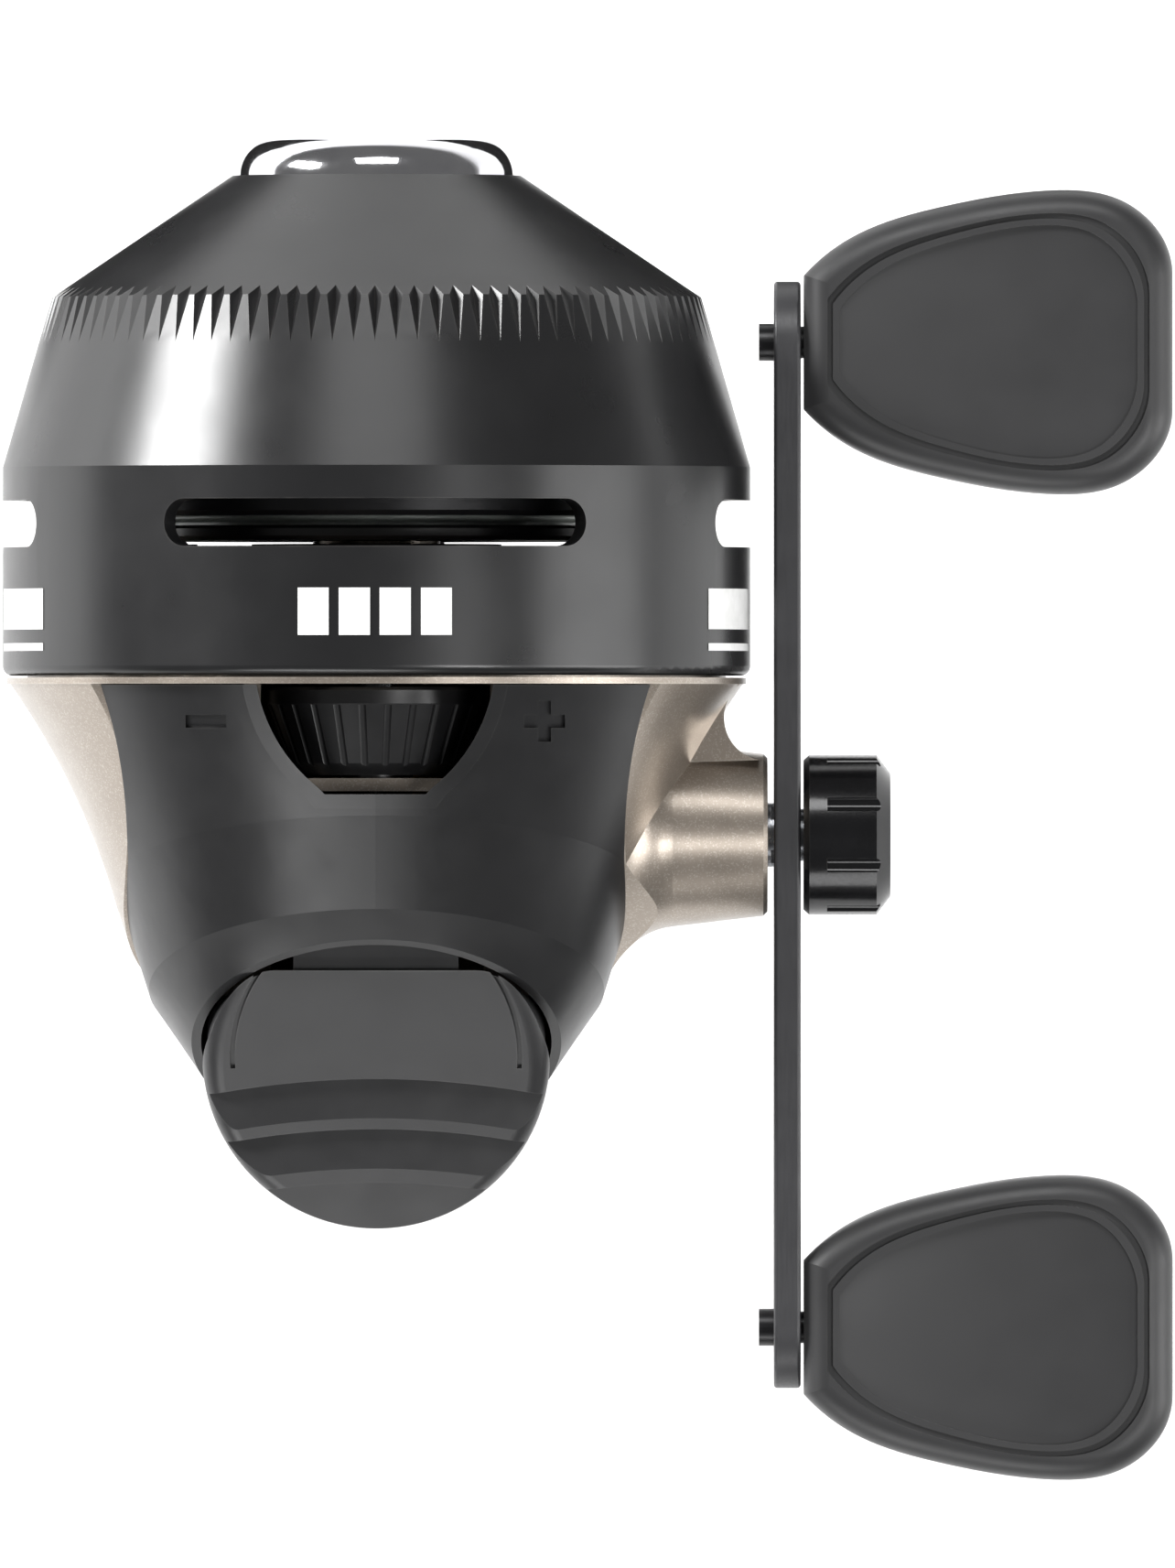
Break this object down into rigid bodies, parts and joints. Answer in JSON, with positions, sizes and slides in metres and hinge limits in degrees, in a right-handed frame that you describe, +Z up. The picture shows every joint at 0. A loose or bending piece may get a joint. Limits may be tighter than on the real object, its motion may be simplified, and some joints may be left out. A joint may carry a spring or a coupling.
{
  "type": "spincast reel",
  "caption": "Closed-face fishing reel with a knurled nose cover, double-paddle crank, rear thumb button, top drag wheel and a foot for a rod's reel seat.",
  "frame": {"origin": "centre of the foot's underside", "axes": "+Z up from the foot, +Y out of the nose, +X towards the crank"},
  "size_m": [0.1095, 0.1256, 0.078],
  "materials": {
    "black_paint": "satin black",
    "black_shell": "satin black",
    "champagne": "metallic paint",
    "polished_steel": "polished",
    "dark_rubber": "soft touch",
    "steel": "brushed",
    "brass": "machined",
    "dark_metal": "dark anodised",
    "line": "clear nylon",
    "grey_plastic": "moulded"
  },
  "bodies": {
    "reel_body": {"housing": "champagne", "back_cover": "black_shell", "cover_screws": "steel", "foot": "dark_metal", "foot_screws": "steel", "deck_bush": "brass", "crank_bush_inner": "brass", "crank_bush_outer": "brass", "pawl_pin": "steel", "spool_clip": "steel", "drag_guide_pin": "steel", "button_pin": "steel"},
    "cover": {"front_cover": "black_paint", "line_guide_ring": "polished_steel"},
    "crank": {"crank_shaft": "steel", "gear_clip": "steel", "drive_gear": "brass", "ratchet": "steel", "crank_arm": "dark_metal", "crank_nut": "dark_metal", "knob_pin_front": "dark_metal", "knob_pin_rear": "dark_metal"},
    "front_knob": {"knob_front": "dark_rubber"},
    "rear_knob": {"knob_rear": "dark_rubber"},
    "pinion": {"pinion_gear": "brass"},
    "rotor": {"center_shaft": "steel", "shaft_clip": "steel", "return_spring": "steel", "spinner_head": "dark_metal", "spinner_nut": "steel", "line_snubber": "dark_rubber", "pin_spring_a": "steel", "pin_spring_b": "steel"},
    "pin_a": {"pickup_pin_a": "steel"},
    "pin_b": {"pickup_pin_b": "steel"},
    "spool_body": {"spool": "grey_plastic", "wound_line": "line"},
    "drag_wheel_body": {"drag_wheel": "grey_plastic"},
    "drag_plate": {"drag_yoke": "steel", "drag_washer": "dark_rubber", "drag_screw": "steel"},
    "button": {"thumb_button": "black_shell"},
    "pawl_body": {"pawl": "steel"}
  },
  "joints": [
    {"name": "crank_turn", "type": "hinge", "parent": "reel_body", "child": "crank", "pos_m": [0.02, 0, 0.043], "axis": [-1, 0, 0], "continuous": true},
    {"name": "front_knob_spin", "type": "hinge", "parent": "crank", "child": "front_knob", "pos_m": [0.05, 0.0461, 0.043], "axis": [1, 0, 0], "continuous": true},
    {"name": "rear_knob_spin", "type": "hinge", "parent": "crank", "child": "rear_knob", "pos_m": [0.05, -0.0461, 0.043], "axis": [1, 0, 0], "continuous": true},
    {"name": "pinion_spin", "type": "hinge", "parent": "reel_body", "child": "pinion", "pos_m": [0, 0.02, 0.043], "axis": [0, 1, 0], "continuous": true},
    {"name": "rotor_slide", "type": "slide", "parent": "pinion", "child": "rotor", "axis": [0, 1, 0], "range_m": [0, 0.0032], "deforming": ["return_spring"]},
    {"name": "pin_a_slide", "type": "slide", "parent": "rotor", "child": "pin_a", "axis": [-1, 0, 0], "range_m": [0, 0.0028], "deforming": ["pin_spring_a"]},
    {"name": "pin_b_slide", "type": "slide", "parent": "rotor", "child": "pin_b", "axis": [1, 0, 0], "range_m": [0, 0.0028], "deforming": ["pin_spring_b"]},
    {"name": "button_press", "type": "hinge", "parent": "reel_body", "child": "button", "pos_m": [0, -0.008, 0.056], "axis": [1, 0, 0], "range_deg": [0, 14], "stiffness_Nm_per_rad": 0.6, "springref_deg": -6.88},
    {"name": "spool_spin", "type": "hinge", "parent": "reel_body", "child": "spool_body", "pos_m": [0, 0.033, 0.043], "axis": [0, 1, 0], "continuous": true},
    {"name": "drag_wheel_turn", "type": "hinge", "parent": "reel_body", "child": "drag_wheel_body", "pos_m": [0, 0.01, 0.063], "axis": [0, 1, 0], "range_deg": [0, 270]},
    {"name": "drag_plate_slide", "type": "slide", "parent": "reel_body", "child": "drag_plate", "axis": [0, -1, 0], "range_m": [0, 0.0005]},
    {"name": "cover_twist", "type": "hinge", "parent": "reel_body", "child": "cover", "pos_m": [0, 0.02, 0.043], "axis": [0, 1, 0], "range_deg": [-30, 0]},
    {"name": "pawl_tip", "type": "hinge", "parent": "reel_body", "child": "pawl_body", "pos_m": [0.01, 0.0084, 0.0334], "axis": [1, 0, 0], "range_deg": [-9, 0]}
  ],
  "couplings": [
    {"joint": "pinion_spin", "follows": "crank_turn", "ratio": 2.6},
    {"joint": "button_press", "follows": "rotor_slide", "rad_per_m": 76.358},
    {"joint": "pin_a_slide", "follows": "rotor_slide", "ratio": 0.875},
    {"joint": "pin_b_slide", "follows": "rotor_slide", "ratio": 0.875},
    {"joint": "drag_wheel_turn", "follows": "drag_plate_slide", "rad_per_m": 9424.8}
  ]
}
